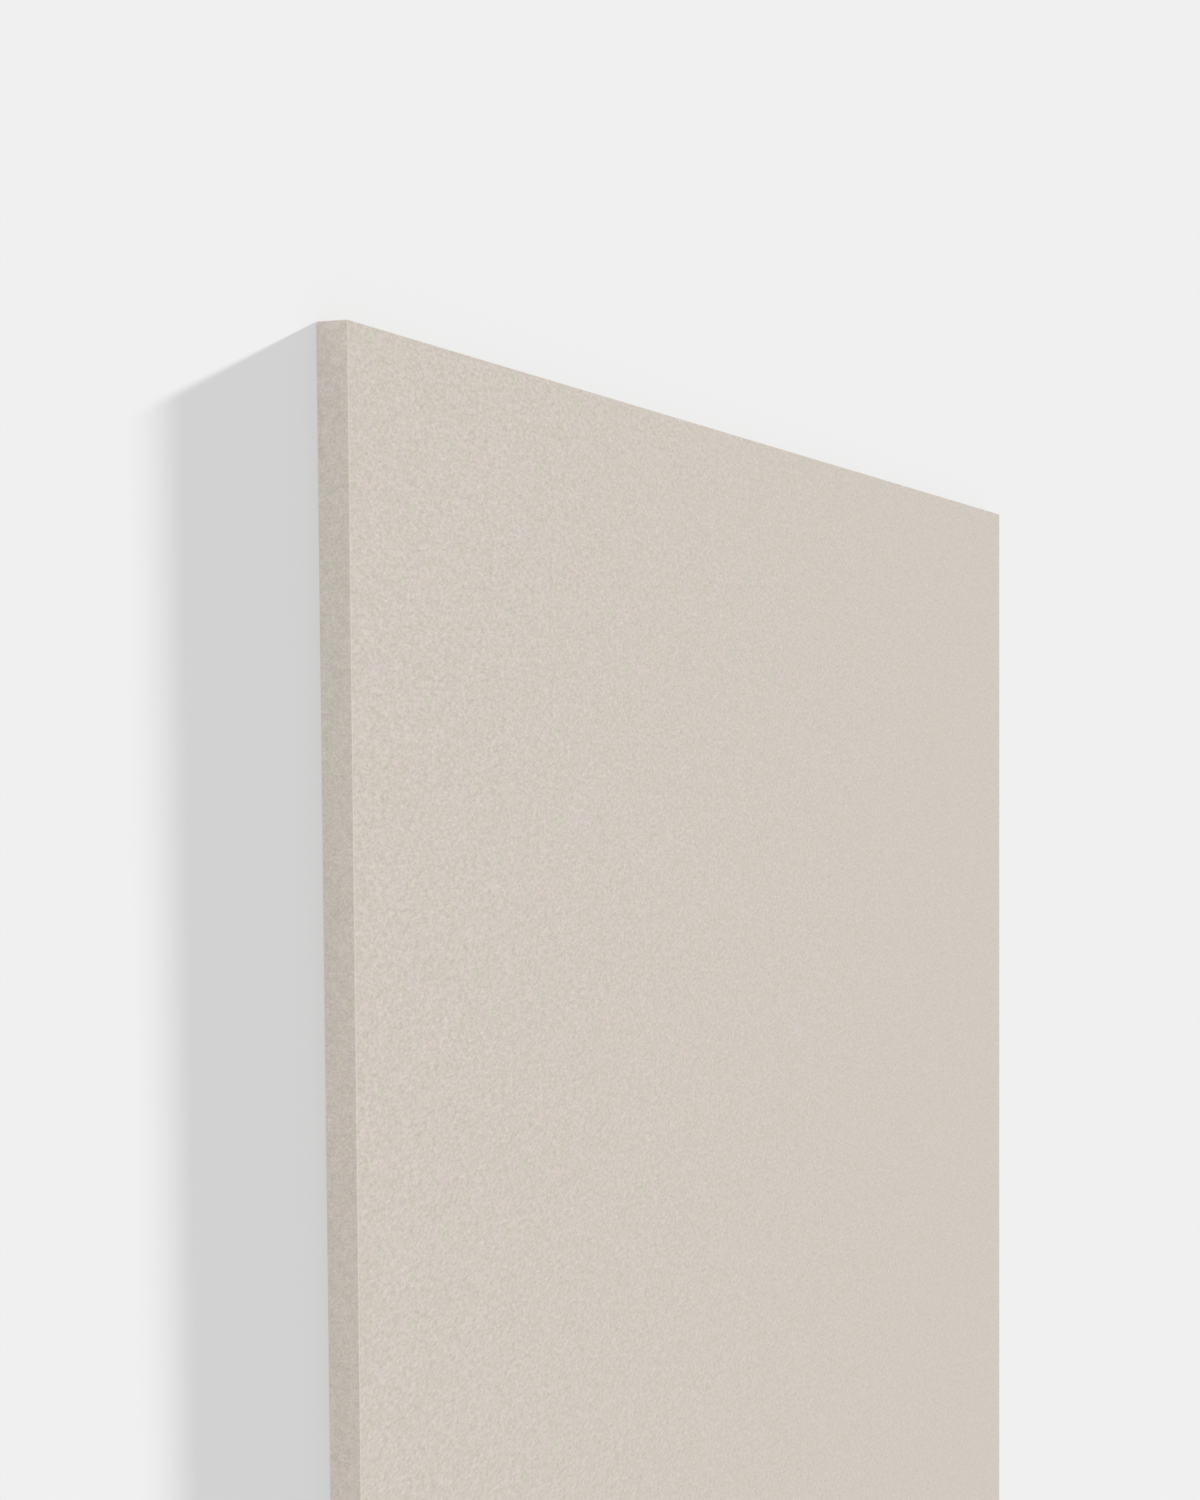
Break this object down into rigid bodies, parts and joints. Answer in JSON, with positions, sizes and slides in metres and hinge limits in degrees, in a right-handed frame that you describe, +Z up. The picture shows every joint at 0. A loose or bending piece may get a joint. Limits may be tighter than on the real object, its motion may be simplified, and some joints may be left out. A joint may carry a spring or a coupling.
{
  "type": "acrylic laminate sheet",
  "caption": "Flat rectangular sheet of speckled beige acrylic laminate, eased at every edge, for panels, fronts and worktops.",
  "frame": {"origin": "centre of the underside (the back), on the surface that the sheet lies on", "axes": "+X across the width, +Y along the length, +Z up through the thickness, from the back to the decorative face"},
  "size_m": [1.22, 2.44, 0.012],
  "materials": {
    "acrylic_laminate": "matte"
  },
  "bodies": {
    "root": {"laminate_sheet": "acrylic_laminate"}
  },
  "joints": []
}
